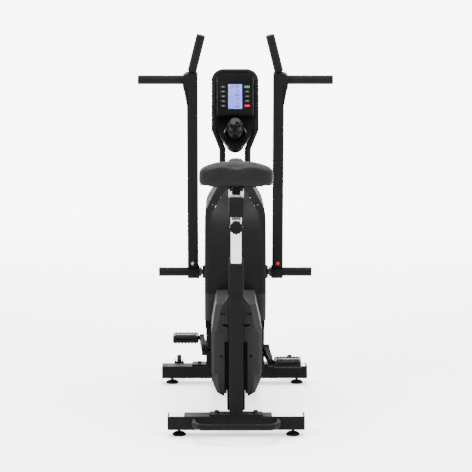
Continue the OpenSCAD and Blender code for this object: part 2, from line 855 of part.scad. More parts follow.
tee_height = 759;
module arm() {
    top_angle = 14;
    rotate([0, 90, 0]) translate([0, 0, 139]) difference() {
        cylinder(r = 26, h = 45);
        translate([0, 0, -1]) cylinder(r = shaft_r, h = 31);
    }
    translate([0, 0, 25]) linear_extrude(tee_height - 22 - 25) translate([163.5, 0]) difference() {
        round_rect(41, 50, 8);
        round_rect(36, 45, 5.5);
    }
    // Head casting with its gusset
    rotate([90, 0, 0]) translate([0, 0, -24]) linear_extrude(48)
        polygon([[143, tee_height - 22], [143, tee_height + 22], [148, tee_height + 27], [184, tee_height + 27],
            [195, tee_height + 20], [199, tee_height + 15], [199, tee_height - 22],
            [194, tee_height - 40], [184, tee_height - 95], [184, tee_height - 22]]);
    // Bars for the side grip, the upright grip and the foot peg
    translate([197, 0, tee_height]) rotate([0, 90, 0]) cylinder(r = 12.5, h = grip_reach - 205);
    translate([172.3, 0, tee_height]) rotate([0, -top_angle, 0]) cylinder(r = 12.5, h = 170);
    rotate([0, 90, 0]) translate([0, 0, 183]) cylinder(r = 12.5, h = 104);
}

module grip_sleeve(length, bar_length) {
    difference() {
        cylinder(r = grip_r, h = length);
        translate([0, 0, -1]) cylinder(r = 12.5, h = bar_length + 1);
    }
}

module grips() {
    translate([199, 0, tee_height]) rotate([0, 90, 0]) grip_sleeve(grip_reach - 199, grip_reach - 207);
    translate([172.3, 0, tee_height]) rotate([0, -14, 0]) translate([0, 0, 34]) grip_sleeve(142, 136);
    rotate([0, 90, 0]) translate([0, 0, 184]) grip_sleeve(112, 103);
}

module place_arm(side) {
    translate([0, ahead(pivot_ahead), pivot_z]) rotate([arm_lean, 0, 0])
        mirror([side < 0 ? 1 : 0, 0, 0]) children();
}

module left_arm() {
    color("#262626") place_arm(-1) arm();
}

module right_arm() {
    color("#262626") place_arm(1) arm();
}

module left_grips() {
    color("#303030") place_arm(-1) grips();
}

module right_grips() {
    color("#303030") place_arm(1) grips();
}

// The shaft that carries an arm, its collar, and the lever inside the frame
module pivot_shaft(side) {
    mirror([side < 0 ? 1 : 0, 0, 0]) {
        x_rod(lever_in, 169, pivot_ahead, pivot_z, shaft_r);
        x_rod(130, 139, pivot_ahead, pivot_z, 18.5);
        slab(lever_in, lever_in + lever_t) strut([pivot_ahead, pivot_z], lever_end, 30);
        x_rod(lever_in - 0.6, lever_in, lever_end[0], lever_end[1], 8);
    }
}

module left_pivot_shaft() {
    color("#6e6e6e") pivot_shaft(-1);
}

module right_pivot_shaft() {
    color("#6e6e6e") pivot_shaft(1);
}

// ---------- seat ----------

module seat_post() {
    color("#c9cacb") difference() {
        union() {
            translate([0, ahead(column_ahead), post_bottom]) linear_extrude(rail_z - post_bottom)
                round_rect(post_w, post_d, 4);
            extrude_y(-25, 95) translate([0, rail_z + rail_h / 2]) round_rect(rail_w, rail_h, 3);
        }
        translate([0, ahead(column_ahead), post_bottom - 1]) linear_extrude(rail_z - post_bottom - 4)
            round_rect(post_w - 5, post_d - 5, 2);
        extrude_y(-26, 96) translate([0, rail_z + rail_h / 2]) round_rect(rail_w - 6, rail_h - 6, 2);
        y_rod(0, 0, 20, slide_knob_z, 5 + running);
        // Height holes down the front
        for (z = [height_pin_z - 150 : 25 : height_pin_z + 75]) y_rod(0, 50, 60, z, 5.5);
    }
}

module seat_carriage() {
    color("#252525") difference() {
        extrude_y(-62, 134) translate([0, carriage_bottom + carriage_h / 2]) round_rect(carriage_w, carriage_h, 4);
        translate([-rail_w / 2 - 0.4, ahead(-56), carriage_bottom - 1])
            cube([rail_w + 0.8, 184, rail_z + rail_h + 1.4 - carriage_bottom]);
    }
}

clamp_z = carriage_bottom + carriage_h;
seat_rail_z = clamp_z + 27;
pan_t = 4;
module saddle_clamp() {
    color("#bfc1c3") difference() {
        union() {
            translate([-27, ahead(-20), clamp_z]) cube([54, 74, 6]);
            for (x = [-27, 16]) translate([x, ahead(-14), clamp_z + 5]) cube([11, 58, 22]);
            x_rod(-26, 26, 15, clamp_z + 14, 5);
        }
        for (x = [-20, 20]) y_rod(x, -30, 70, seat_rail_z, 3.5);
    }
}

module saddle_base() {
    r = saddle_rear;
    color("#1d1d1d") {
        translate([0, ahead(0), saddle_z]) linear_extrude(pan_t)
            polygon([[-64, r + 22], [64, r + 22], [92, r + 34], [98, r + 52], [94, r + 78], [70, r + 108],
                [42, r + 148], [24, r + 198], [18, r + 236], [-18, r + 236], [-24, r + 198], [-42, r + 148],
                [-70, r + 108], [-94, r + 78], [-98, r + 52], [-92, r + 34]]);
        // Lug held by the clamp's bolt
        difference() {
            translate([-14, ahead(-10), clamp_z + 8]) cube([28, 50, saddle_z - clamp_z - 7]);
            x_rod(-15, 15, 15, clamp_z + 14, 5);
        }
        // Two rails under the pan
        for (x = [-20, 20]) {
            y_rod(x, -34, 110, seat_rail_z, 3.5);
            for (d = [-34, 104]) translate([x - 5, ahead(d), seat_rail_z - 5]) cube([10, 10, saddle_z - seat_rail_z + 5]);
        }
    }
}

module cushion_lobe(x, d, r, top) {
    translate([x, ahead(d), saddle_z + pan_t]) {
        cylinder(r = r - 7, h = 2, $fn = 32);
        translate([0, 0, 12]) cylinder(r = r, h = top * 0.5, $fn = 32);
        translate([0, 0, top - 10]) cylinder(r = r - 9, h = 4, $fn = 32);
        translate([0, 0, top - 1]) cylinder(r = r - 22, h = 1, $fn = 32);
    }
}

module saddle_cushion() {
    wing = saddle_w / 2 - 46;
    color("#3a3a3c") {
        hull() {
            cushion_lobe(-wing, saddle_rear + 46, 46, 78);
            cushion_lobe(wing, saddle_rear + 46, 46, 78);
            cushion_lobe(0, saddle_rear + 90, 50, 88);
        }
        hull() {
            cushion_lobe(-wing + 26, saddle_rear + 66, 46, 79);
            cushion_lobe(wing - 26, saddle_rear + 66, 46, 79);
            cushion_lobe(0, saddle_rear + saddle_l - 32, 32, 88);
        }
    }
}

module slide_knob() {
    color("#191919") difference() {
        union() {
            y_rod(0, -26, 6, slide_knob_z, 22);
            for (a = [0 : 30 : 330]) translate([20 * cos(a), ahead(-28), slide_knob_z + 20 * sin(a)])
                rotate([-90, 0, 0]) cylinder(r = 4, h = 30, $fn = 24);
            y_rod(0, 5, 20, slide_knob_z, 5);
        }
        y_rod(0, -27, -22, slide_knob_z, 12);
    }
}

module height_pin() {
    front = column_ahead + seat_tube_d / 2;
    color("#191919") {
        y_rod(0, 58.6, front + 12, height_pin_z, 5);
        y_rod(0, front + 11, front + 18, height_pin_z, 12);
        y_rod(0, front + 17, front + 40, height_pin_z, 19);
    }
}

// ---------- console ----------

module place_console() {
    translate([0, ahead(console_ahead), console_z]) rotate([-console_tilt, 0, 0]) children();
}

// A point of the tilted console, as a place on the bike
function console_point(x, y, v) = [x, ahead(console_ahead) + y * cos(console_tilt) + v * sin(console_tilt),
    console_z - y * sin(console_tilt) + v * cos(console_tilt)];

// The loop around the console and the bends below it, with an optional gap around the tubes
module mast_loop(gap) {
    place_console() rotate([90, 0, 0]) bent_tube([[loop_half_w, 0], [loop_half_w, loop_height],
        [-loop_half_w, loop_height], [-loop_half_w, 0]], 36, loop_r + gap);
    for (s = [-1, 1]) {
        knee = console_point(s * loop_half_w, 0, 0);
        ankle = [s * mast_half_w, ahead(678), 1004];
        bar(knee, ankle, loop_r - 0.2 + gap);
        for (p = [knee, ankle]) translate(p) sphere(loop_r + 0.1 + gap);
    }
}

module console_mast() {
    bridge_ahead = fan_ahead - 50;
    bridge_z = 812;
    color("#232323") {
        mast_loop(0);
        for (s = [-1, 1]) {
            foot = [s * mast_half_w, ahead(bridge_ahead), bridge_z];
            bar([s * mast_half_w, ahead(678), 1004], foot, loop_r - 0.2);
            translate(foot) sphere(loop_r + 0.1);
            // Down to the side frame
            bar([s * 70, ahead(bridge_ahead), bridge_z], [s * 103, ahead(bridge_ahead), 731.5], 9);
        }
        // Bridge over the fan
        bar([-78, ahead(bridge_ahead), bridge_z], [78, ahead(bridge_ahead), bridge_z], 11);
    }
}

module console_housing() {
    color("#1e1e20") difference() {
        place_console() difference() {
            union() {
                // Infill between the tubes
                translate([0, 8, 0]) rotate([90, 0, 0]) linear_extrude(22)
                    polygon([[-73, 8], [-73, loop_height - 36], [-69.4, loop_height - 22.8],
                        [-59.7, loop_height - 13.1], [-46.5, loop_height - 9.5], [46.5, loop_height - 9.5],
                        [59.7, loop_height - 13.1], [69.4, loop_height - 22.8], [73, loop_height - 36], [73, 8], [66, -12], [52, -42], [36, -68], [24, -76], [-24, -76],
                        [-36, -68], [-52, -42], [-66, -12]]);
                translate([0, -14, panel_v]) rotate([90, 0, 0]) linear_extrude(31) round_rect(142, 166, 9);
            }
        }
        mast_loop(0.3);
        cup_place() translate([0, 0, -150]) cylinder(r = cup_r, h = 152);
        cup_place() translate([0, 0, -12]) cylinder(r = cup_r + 8, h = 40);
    }
}

module console_fascia() {
    color("#141416") place_console() difference() {
        translate([0, face_y + 3, panel_v]) rotate([90, 0, 0]) linear_extrude(3) round_rect(138, 160, 7);
        translate([-27.5, face_y - 1, key_v - 52]) cube([55, 5, 104]);
        for (i = [1 : 10]) key_place(i) rotate([90, 0, 0]) translate([0, 0, -4]) linear_extrude(8)
            round_rect(key_w(i) + 1, 9.5, 3.5);
    }
}

module console_display() {
    color("#a9b4f0") place_console() translate([-27, face_y + 0.6, key_v - 51.5]) cube([54, 2.4, 103]);
}

function key_w(i) = i == 6 || i == 10 ? 22 : 19;

// Keys 1 to 5 run down the left of the display and keys 6 to 10 down its right
module key_place(i) {
    row = i > 5 ? i - 6 : i - 1;
    translate([i > 5 ? 46.7 : -46.7, face_y, key_v + (2 - row) * key_pitch]) children();
}

module key(i, tint) {
    color(tint) place_console() key_place(i) translate([0, 1.6, 0]) rotate([90, 0, 0])
        linear_extrude(3.2) round_rect(key_w(i), 8.5, 3);
}

module cup_place() {
    translate([0, ahead(cup_ahead), cup_mouth_z]) rotate([cup_tilt, 0, 0]) children();
}

cup_depth = 52;
module bottle_cup() {
    color("#202022") cup_place() difference() {
        union() {
            translate([0, 0, -cup_depth]) cylinder(r = cup_r, h = cup_depth);
            translate([0, 0, -cup_depth]) sphere(cup_r);
            translate([0, 0, -10]) cylinder(r1 = cup_r, r2 = cup_r + 6, h = 10);
        }
        translate([0, 0, -cup_depth]) cylinder(r = cup_r - 3, h = cup_depth + 1);
        translate([0, 0, -cup_depth]) sphere(cup_r - 3);
        translate([0, 0, -9]) cylinder(r1 = cup_r - 3, r2 = cup_r + 4, h = 10);
    }
}

module bottle() {
    color("#0f0f10") cup_place() {
        translate([0, 0, -cup_depth - 10.5]) cylinder(r = bottle_r, h = 88.5);
        translate([0, 0, 26]) cylinder(r1 = bottle_r, r2 = 25, h = 12);
        translate([0, 0, 37]) cylinder(r = 27.5, h = 16);
        translate([0, 0, 52]) cylinder(r1 = 27.5, r2 = 20, h = 8);
        translate([0, 0, 59]) cylinder(r = 19, h = 9);
        translate([8, -4, 60]) cylinder(r = 7, h = 15);
    }
}

// ---------- nodes ----------

rear_stabilizer();
front_stabilizer();
stabilizer_caps();
levelling_feet();
fasteners();
rear_column();
seat_tube();
main_beam();
left_fork_leg();
right_fork_leg();
bearing_rings();
fan_axle();
lift_handle();
wheel_brackets();
shroud_left();
shroud_right();
shroud_rear_panel();
lower_shroud();
left_drive_guard();
right_drive_guard();
drive_belt();
console_mast();
console_housing();
console_fascia();
console_display();
bottle_cup();
crank_spindle();
crank_arms();
crank_pulley();
left_pedal();
right_pedal();
fan_wheel();
left_rod();
right_rod();
left_arm();
right_arm();
left_pivot_shaft();
right_pivot_shaft();
left_grips();
right_grips();
seat_post();
seat_carriage();
saddle_clamp();
saddle_base();
saddle_cushion();
slide_knob();
height_pin();
bottle();
left_wheel();
right_wheel();
key(1, "#d0d0d0");  // key_1
key(2, "#d0d0d0");  // key_2
key(3, "#d0d0d0");  // key_3
key(4, "#d0d0d0");  // key_4
key(5, "#d0d0d0");  // key_5
key(6, "#18b060");  // key_6
key(7, "#d0d0d0");  // key_7
key(8, "#d0d0d0");  // key_8
key(9, "#d0d0d0");  // key_9
key(10, "#e03030");  // key_10
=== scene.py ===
"""Looks for the air bike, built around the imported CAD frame."""
import json
import math

import bmesh
import bpy
from mathutils import Matrix, Vector


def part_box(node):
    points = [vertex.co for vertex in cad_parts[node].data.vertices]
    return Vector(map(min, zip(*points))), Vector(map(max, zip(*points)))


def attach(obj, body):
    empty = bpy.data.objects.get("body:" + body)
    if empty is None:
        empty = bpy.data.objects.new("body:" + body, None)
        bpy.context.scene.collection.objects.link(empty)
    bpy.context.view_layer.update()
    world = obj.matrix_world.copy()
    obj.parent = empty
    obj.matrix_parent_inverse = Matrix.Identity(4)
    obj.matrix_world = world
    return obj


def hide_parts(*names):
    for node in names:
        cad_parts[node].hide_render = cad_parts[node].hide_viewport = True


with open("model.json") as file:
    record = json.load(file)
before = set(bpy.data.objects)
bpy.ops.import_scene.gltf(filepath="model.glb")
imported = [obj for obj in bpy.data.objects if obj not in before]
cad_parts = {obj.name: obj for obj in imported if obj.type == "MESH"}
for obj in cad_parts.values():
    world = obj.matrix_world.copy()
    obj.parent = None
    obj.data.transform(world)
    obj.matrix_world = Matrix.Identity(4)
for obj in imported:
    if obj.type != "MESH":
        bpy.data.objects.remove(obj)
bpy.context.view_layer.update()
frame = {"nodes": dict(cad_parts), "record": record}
scene = bpy.context.scene


# ---------- materials ----------

def node_material(name, color, rough, metallic=0.0, ior=1.13):
    """A principled material with helpers for the node tree."""
    m = bpy.data.materials.new(name)
    m.use_nodes = True
    tree = m.node_tree
    shader = tree.nodes["Principled BSDF"]
    shader.inputs["Base Color"].default_value = (*color, 1)
    shader.inputs["Roughness"].default_value = rough
    shader.inputs["Metallic"].default_value = metallic
    shader.inputs["IOR"].default_value = ior
    return m, tree, shader


def coords(tree, scale=(1, 1, 1)):
    c = tree.nodes.new("ShaderNodeTexCoord")
    mp = tree.nodes.new("ShaderNodeMapping")
    mp.inputs["Scale"].default_value = scale
    tree.links.new(c.outputs["Object"], mp.inputs["Vector"])
    return mp.outputs["Vector"]


def noise(tree, vector, scale, detail=3, rough=0.5):
    n = tree.nodes.new("ShaderNodeTexNoise")
    n.inputs["Scale"].default_value = scale
    n.inputs["Detail"].default_value = detail
    n.inputs["Roughness"].default_value = rough
    tree.links.new(vector, n.inputs["Vector"])
    return n.outputs["Fac"]


def ramp(tree, value, low, high, a=0.0, b=1.0):
    r = tree.nodes.new("ShaderNodeMapRange")
    r.inputs["From Min"].default_value = low
    r.inputs["From Max"].default_value = high
    r.inputs["To Min"].default_value = a
    r.inputs["To Max"].default_value = b
    tree.links.new(value, r.inputs["Value"])
    return r.outputs["Result"]


def mix_color(tree, factor, a, b):
    x = tree.nodes.new("ShaderNodeMix")
    x.data_type = "RGBA"
    tree.links.new(factor, x.inputs["Factor"])
    x.inputs["A"].default_value = (*a, 1)
    x.inputs["B"].default_value = (*b, 1)
    return x.outputs["Result"]


def bump(tree, shader, height, strength, distance):
    b = tree.nodes.new("ShaderNodeBump")
    b.inputs["Strength"].default_value = strength
    b.inputs["Distance"].default_value = distance
    tree.links.new(height, b.inputs["Height"])
    tree.links.new(b.outputs["Normal"], shader.inputs["Normal"])
    return b


def painted_edge_highlight(tree, shader, base, highlight, radius=0.0012, amount=0.5):
    """Painted highlight: lighter colour along the edges, where the bevelled normal leaves the face normal."""
    bevel = tree.nodes.new("ShaderNodeBevel")
    bevel.samples = 4
    bevel.inputs["Radius"].default_value = radius
    geo = tree.nodes.new("ShaderNodeNewGeometry")
    dot = tree.nodes.new("ShaderNodeVectorMath")
    dot.operation = "DOT_PRODUCT"
    tree.links.new(bevel.outputs["Normal"], dot.inputs[0])
    tree.links.new(geo.outputs["Normal"], dot.inputs[1])
    edge = ramp(tree, dot.outputs["Value"], 0.995, 0.90, 0.0, amount)
    tree.links.new(mix_color(tree, edge, base, highlight), shader.inputs["Base Color"])


def powder_coat(name, color, rough=0.42, highlight=None):
    m, tree, shader = node_material(name, color, rough)
    v = coords(tree)
    peel = noise(tree, v, 900, 2)
    bump(tree, shader, peel, 0.22, 0.0004)
    patches = ramp(tree, noise(tree, v, 9, 4), 0.3, 0.7, rough - 0.05, rough + 0.08)
    tree.links.new(patches, shader.inputs["Roughness"])
    # Painted highlight colour for the edges, lighter than the paint
    highlight_color = highlight or tuple(c * 2.2 + 0.006 for c in color)
    painted_edge_highlight(tree, shader, color, highlight_color)
    return m


def moulded(name, color, rough=0.45, grain=1400, depth=0.25, highlight=None):
    m, tree, shader = node_material(name, color, rough)
    v = coords(tree)
    cells = tree.nodes.new("ShaderNodeTexVoronoi")
    cells.inputs["Scale"].default_value = grain
    tree.links.new(v, cells.inputs["Vector"])
    bump(tree, shader, cells.outputs["Distance"], depth, 0.0002)
    patches = ramp(tree, noise(tree, v, 14, 4), 0.3, 0.7, rough - 0.06, rough + 0.07)
    tree.links.new(patches, shader.inputs["Roughness"])
    # Painted highlight colour for the edges, lighter than the plastic
    highlight_color = highlight or tuple(c * 1.8 + 0.005 for c in color)
    painted_edge_highlight(tree, shader, color, highlight_color, 0.001, 0.4)
    return m


def brushed(name, color, rough=0.3, stretch=(1, 1, 40)):
    m, tree, shader = node_material(name, color, rough, 1.0)
    v = coords(tree, stretch)
    lines = noise(tree, v, 160, 4, 0.6)
    bump(tree, shader, lines, 0.12, 0.0003)
    tree.links.new(ramp(tree, lines, 0.3, 0.7, rough - 0.06, rough + 0.1), shader.inputs["Roughness"])
    dark = tuple(c * 0.86 for c in color)
    tree.links.new(mix_color(tree, ramp(tree, lines, 0.35, 0.65), dark, color), shader.inputs["Base Color"])
    return m


def foam(name, color):
    m, tree, shader = node_material(name, color, 0.85)
    v = coords(tree)
    cells = tree.nodes.new("ShaderNodeTexVoronoi")
    cells.inputs["Scale"].default_value = 700
    tree.links.new(v, cells.inputs["Vector"])
    bump(tree, shader, cells.outputs["Distance"], 0.5, 0.0006)
    tree.links.new(mix_color(tree, ramp(tree, noise(tree, v, 60, 4), 0.35, 0.65), color,
                             tuple(c * 1.5 for c in color)), shader.inputs["Base Color"])
    shader.inputs["Sheen Weight"].default_value = 0.06
    return m


def vinyl(name, color):
    m, tree, shader = node_material(name, color, 0.52)
    v = coords(tree)
    cells = tree.nodes.new("ShaderNodeTexVoronoi")
    cells.feature = "DISTANCE_TO_EDGE"
    cells.inputs["Scale"].default_value = 520
    tree.links.new(v, cells.inputs["Vector"])
    creases = tree.nodes.new("ShaderNodeMath")
    creases.operation = "ADD"
    tree.links.new(ramp(tree, cells.outputs["Distance"], 0.0, 0.25), creases.inputs[0])
    tree.links.new(noise(tree, v, 40, 3), creases.inputs[1])
    bump(tree, shader, creases.outputs["Value"], 0.35, 0.0005)
    tree.links.new(ramp(tree, noise(tree, v, 18, 4), 0.3, 0.7, 0.44, 0.62), shader.inputs["Roughness"])
    tree.links.new(mix_color(tree, ramp(tree, noise(tree, v, 12, 3), 0.3, 0.7), color,
                             tuple(c * 1.25 for c in color)), shader.inputs["Base Color"])
    return m


def rubber(name, color):
    m, tree, shader = node_material(name, color, 0.7)
    v = coords(tree)
    bump(tree, shader, noise(tree, v, 400, 4), 0.3, 0.0004)
    tree.links.new(mix_color(tree, ramp(tree, noise(tree, v, 25, 5), 0.4, 0.7), color,
                             tuple(c * 1.7 + 0.004 for c in color)), shader.inputs["Base Color"])
    return m


def display_glass(name):
    m, tree, shader = node_material(name, (0.09, 0.11, 0.45), 0.2)
    v = coords(tree)
    clouds = ramp(tree, noise(tree, v, 18, 2), 0.3, 0.7)
    shade = mix_color(tree, clouds, (0.10, 0.12, 0.46), (0.16, 0.18, 0.58))
    tree.links.new(shade, shader.inputs["Base Color"])
    tree.links.new(shade, shader.inputs["Emission Color"])
    shader.inputs["Emission Strength"].default_value = 0.12
    return m


def sticker(name):
    m, tree, shader = node_material(name, (0.78, 0.78, 0.72), 0.4)
    v = coords(tree)
    spots = ramp(tree, noise(tree, v, 35, 4), 0.3, 0.7)
    tree.links.new(mix_color(tree, spots, (0.74, 0.74, 0.68), (0.84, 0.84, 0.79)), shader.inputs["Base Color"])
    bump(tree, shader, noise(tree, v, 120, 3), 0.08, 0.0003)
    return m


def two_tone(name, color, scale, detail, a, b, rough=0.4):
    """A thin printed or moulded mark whose tone wanders a little."""
    m, tree, shader = node_material(name, color, rough)
    tree.links.new(mix_color(tree, noise(tree, coords(tree), scale, detail), a, b), shader.inputs["Base Color"])
    return m


mats = {
    "frame_paint": powder_coat("frame_paint", (0.0036, 0.0036, 0.0038), 0.58),
    "cap_plastic": moulded("cap_plastic", (0.006, 0.006, 0.006), 0.5),
    "foot_rubber": rubber("foot_rubber", (0.002, 0.002, 0.002)),
    "zinc": brushed("zinc", (0.03, 0.03, 0.032), 0.38),
    "steel": brushed("steel", (0.2, 0.2, 0.205), 0.3, (40, 1, 1)),
    "shroud_plastic": moulded("shroud_plastic", (0.0048, 0.0048, 0.005), 0.75),
    "panel_plastic": moulded("panel_plastic", (0.0052, 0.0052, 0.0056), 0.34, 1700, 0.15),
    "guard_plastic": moulded("guard_plastic", (0.0125, 0.0125, 0.013), 0.64),
    "belt_rubber": rubber("belt_rubber", (0.003, 0.003, 0.003)),
    "console_plastic": moulded("console_plastic", (0.0016, 0.0016, 0.0017), 0.45),
    "fascia": moulded("fascia", (0.0022, 0.0022, 0.0024), 0.34, 2200, 0.08),
    "display": display_glass("display"),
    "crank_black": powder_coat("crank_black", (0.002, 0.002, 0.0021), 0.6),
    "pedal_plastic": moulded("pedal_plastic", (0.0035, 0.0035, 0.0035), 0.4, 1100, 0.35),
    "fan_metal": powder_coat("fan_metal", (0.012, 0.012, 0.013), 0.4),
    "grip_foam": foam("grip_foam", (0.0032, 0.0032, 0.0034)),
    "silver": brushed("silver", (0.66, 0.67, 0.68), 0.34),
    "saddle_plastic": moulded("saddle_plastic", (0.003, 0.003, 0.0032), 0.45),
    "saddle_vinyl": vinyl("saddle_vinyl", (0.0062, 0.0058, 0.0060)),
    "knob_plastic": moulded("knob_plastic", (0.004, 0.004, 0.0042), 0.38, 1200, 0.3),
    "bottle_plastic": moulded("bottle_plastic", (0.003, 0.003, 0.0033), 0.22, 900, 0.05),
    "wheel_rubber": rubber("wheel_rubber", (0.006, 0.006, 0.006)),
    # The last colour of each key is the painted highlight along its edges
    "key_grey": moulded("key_grey", (0.018, 0.018, 0.019), 0.4, 1500, 0.1, (0.05, 0.05, 0.05)),
    "key_green": moulded("key_green", (0.006, 0.15, 0.06), 0.35, 1500, 0.1, (0.05, 0.4, 0.2)),
    "key_red": moulded("key_red", (0.32, 0.010, 0.010), 0.35, 1500, 0.1, (0.6, 0.08, 0.07)),
}
label_mat = sticker("label_film")

for part in frame["record"]["subparts"]:
    ob = frame["nodes"][part["node"]]
    if not ob.data.materials:
        ob.data.materials.append(mats[part["material_slot"]])
    for s in ob.material_slots:
        s.material = mats[part["material_slot"]]


# ---------- helpers for pieces ----------

def band_faces(rows, around):
    """Quads between rows of points, each row a closed ring."""
    faces = []
    for j in range(rows - 1):
        for k in range(around):
            a, b = j * around + k, j * around + (k + 1) % around
            faces.append((a, b, b + around, a + around))
    return faces


def mesh_piece(name, verts, faces, body, slot=None, mat=None, smooth=True):
    me = bpy.data.meshes.new(name)
    me.from_pydata([tuple(v) for v in verts], [], faces)
    me.validate()
    me.update()
    ob = bpy.data.objects.new(name, me)
    scene.collection.objects.link(ob)
    for p in me.polygons:
        p.use_smooth = smooth
    me.materials.append(mat or mats[slot])
    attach(ob, body)
    return ob


def bevelled_plate(name, corners, thickness, body, slot, mat=None, bevel=0.0004):
    """A thin plate on four corner points, standing off along their normal."""
    a, b, c, d = [Vector(p) for p in corners]
    n = (b - a).cross(d - a).normalized() * thickness
    verts = [a, b, c, d, a + n, b + n, c + n, d + n]
    faces = [(3, 2, 1, 0), (4, 5, 6, 7), (0, 1, 5, 4), (1, 2, 6, 5), (2, 3, 7, 6), (3, 0, 4, 7)]
    ob = mesh_piece(name, verts, faces, body, slot, mat, smooth=False)
    mod = ob.modifiers.new("bevel", "BEVEL")
    mod.width = bevel
    mod.segments = 2
    return ob


def tube(name, points, radius, body, slot, cyclic=False, mat=None):
    cu = bpy.data.curves.new(name, "CURVE")
    cu.dimensions = "3D"
    cu.bevel_depth = radius
    cu.bevel_resolution = 3
    sp = cu.splines.new("POLY")
    sp.points.add(len(points) - 1)
    for p, v in zip(sp.points, points):
        p.co = (*v, 1)
    sp.use_cyclic_u = cyclic
    ob = bpy.data.objects.new(name, cu)
    scene.collection.objects.link(ob)
    cu.materials.append(mat or mats[slot])
    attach(ob, body)
    return ob


# ---------- saddle ----------

cl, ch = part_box("saddle_cushion")
rear, nose = cl.y, ch.y
length = nose - rear
half = (ch.x - cl.x) / 2


def ease(a, b, t):
    t = min(max(t, 0.0), 1.0)
    t = t * t * (3 - 2 * t)
    return a + (b - a) * t


def plan_half(d):
    """Half width of the saddle at distance d (m) ahead of its rear end."""
    if d < 0.045:
        u = (0.045 - d) / 0.045
        w = half * (0.62 + 0.38 * (1 - u ** 2.4) ** 0.5)
    elif d < 0.085:
        w = half
    elif d < 0.19:
        w = ease(half, 0.040, (d - 0.085) / 0.105)
    else:
        w = ease(0.040, 0.034, (d - 0.19) / 0.04)
    tail = length - d
    if tail < 0.036:
        w *= max(0.0, 1 - ((0.036 - tail) / 0.036) ** 2.2) ** 0.5
    return w


def top_height(d):
    """Height of the crest line above the cushion's underside."""
    rise = ch.z - cl.z
    return rise * (0.95 - 0.07 * math.exp(-((d - 0.14) / 0.05) ** 2)) - 0.010 * math.exp(-(d / 0.035) ** 2)


def build_saddle():
    floor_z = cl.z
    rings, around, stations = [], 56, 54
    for j in range(stations + 1):
        t = j / stations
        d = length * (0.5 - 0.5 * math.cos(math.pi * t))
        w = max(plan_half(d), 0.002)
        end = 1.0
        if d < 0.012:
            end = (1 - ((0.012 - d) / 0.012) ** 4.0) ** 0.25
        if length - d < 0.03:
            end = (1 - ((0.03 - (length - d)) / 0.03) ** 2.2) ** 0.5
        top = top_height(d)
        widest = 0.36 * top
        ring = []
        for k in range(around):
            a = 2 * math.pi * k / around
            c, s = math.cos(a), math.sin(a)
            x = w * math.copysign(abs(c) ** (0.42 if s > 0 else 0.24), c)
            up = (top - widest) * abs(s) ** 0.55 if s > 0 else -widest * abs(s) ** 0.3
            crown = 0.0
            if s > 0:
                wide = min(1.0, w / half)
                crown = -0.016 * wide * (abs(x) / max(w, 0.001)) ** 2.4 * s
                crown -= 0.011 * math.exp(-abs(x) / 0.022) * math.exp(-(d / 0.07) ** 2) * s
            ring.append(Vector((x, rear + d, floor_z + widest + (up + crown) * max(end, 0.02))))
        rings.append(ring)
    verts = [v for r in rings for v in r]
    faces = band_faces(stations + 1, around)
    faces.append(tuple(range(around)))
    faces.append(tuple(reversed(range(stations * around, (stations + 1) * around))))
    ob = mesh_piece("saddle_pad", verts, faces, "saddle", "saddle_vinyl")
    bm = bmesh.new()
    bm.from_mesh(ob.data)
    bmesh.ops.recalc_face_normals(bm, faces=bm.faces)
    bm.to_mesh(ob.data)
    bm.free()
    return ob


def swell(ob, voxel, pressure, cap, frames=16):
    """Remeshes the pad and lets cloth pressure plump it, with a limit on the movement."""
    rm = ob.modifiers.new("remesh", "REMESH")
    rm.mode = "VOXEL"
    rm.voxel_size = voxel
    dg = bpy.context.evaluated_depsgraph_get()
    me = bpy.data.meshes.new_from_object(ob.evaluated_get(dg))
    ob.modifiers.clear()
    old = ob.data
    ob.data = me
    bpy.data.meshes.remove(old)
    start = [v.co.copy() for v in ob.data.vertices]
    group = ob.vertex_groups.new(name="hold")
    low = min(v.z for v in start)
    group.add([i for i, v in enumerate(start) if v.z < low + 0.004], 1.0, "REPLACE")
    cloth = ob.modifiers.new("cloth", "CLOTH")
    cloth.settings.use_pressure = True
    cloth.settings.uniform_pressure_force = pressure
    cloth.settings.effector_weights.gravity = 0
    cloth.settings.vertex_group_mass = "hold"
    cloth.settings.tension_stiffness = 40
    cloth.settings.compression_stiffness = 40
    cloth.settings.bending_stiffness = 4
    cloth.point_cache.frame_start = 1
    cloth.point_cache.frame_end = frames
    for f in range(1, frames + 1):
        scene.frame_set(f)
    dg = bpy.context.evaluated_depsgraph_get()
    moved = [v.co.copy() for v in ob.evaluated_get(dg).data.vertices]
    ob.modifiers.clear()
    scene.frame_set(1)
    for v, a, b in zip(ob.data.vertices, start, moved):
        step = b - a
        if step.length > cap:
            step *= cap / step.length
        v.co = a + step
    for p in ob.data.polygons:
        p.use_smooth = True
    if not ob.data.materials:
        ob.data.materials.append(mats["saddle_vinyl"])
    ob.data.materials[0] = mats["saddle_vinyl"]
    smooth = ob.modifiers.new("smooth", "SMOOTH")
    smooth.factor = 0.5
    smooth.iterations = 4
    sub = ob.modifiers.new("sub", "SUBSURF")
    sub.levels = 1
    sub.render_levels = 1


pad = build_saddle()
swell(pad, 0.0045, 3.0, 0.003)
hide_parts("saddle_cushion")

# Piping where the cover meets the pan, a little above the underside
seam = []
for i in range(81):
    t = i / 80
    d = 0.012 + (length - 0.020) * (0.5 - 0.5 * math.cos(math.pi * t))
    seam.append((plan_half(d) * 0.95, rear + 0.004 + d * 0.985))
loop = [(x, y, cl.z + 0.0035) for x, y in seam] + [(-x, y, cl.z + 0.0035) for x, y in reversed(seam)]
tube("saddle_piping", loop, 0.0022, "saddle", "saddle_vinyl", cyclic=True)


# ---------- console ----------

TILT = math.radians(25)
inward = Vector((0, math.cos(TILT), -math.sin(TILT)))
upward = Vector((0, math.sin(TILT), math.cos(TILT)))


def middle(node):
    low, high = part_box(node)
    return (Vector(low) + Vector(high)) / 2


def reach_out(node, point):
    """How far the node stands out towards the rider from a point."""
    return max((v.co - point).dot(-inward) for v in frame["nodes"][node].data.vertices)


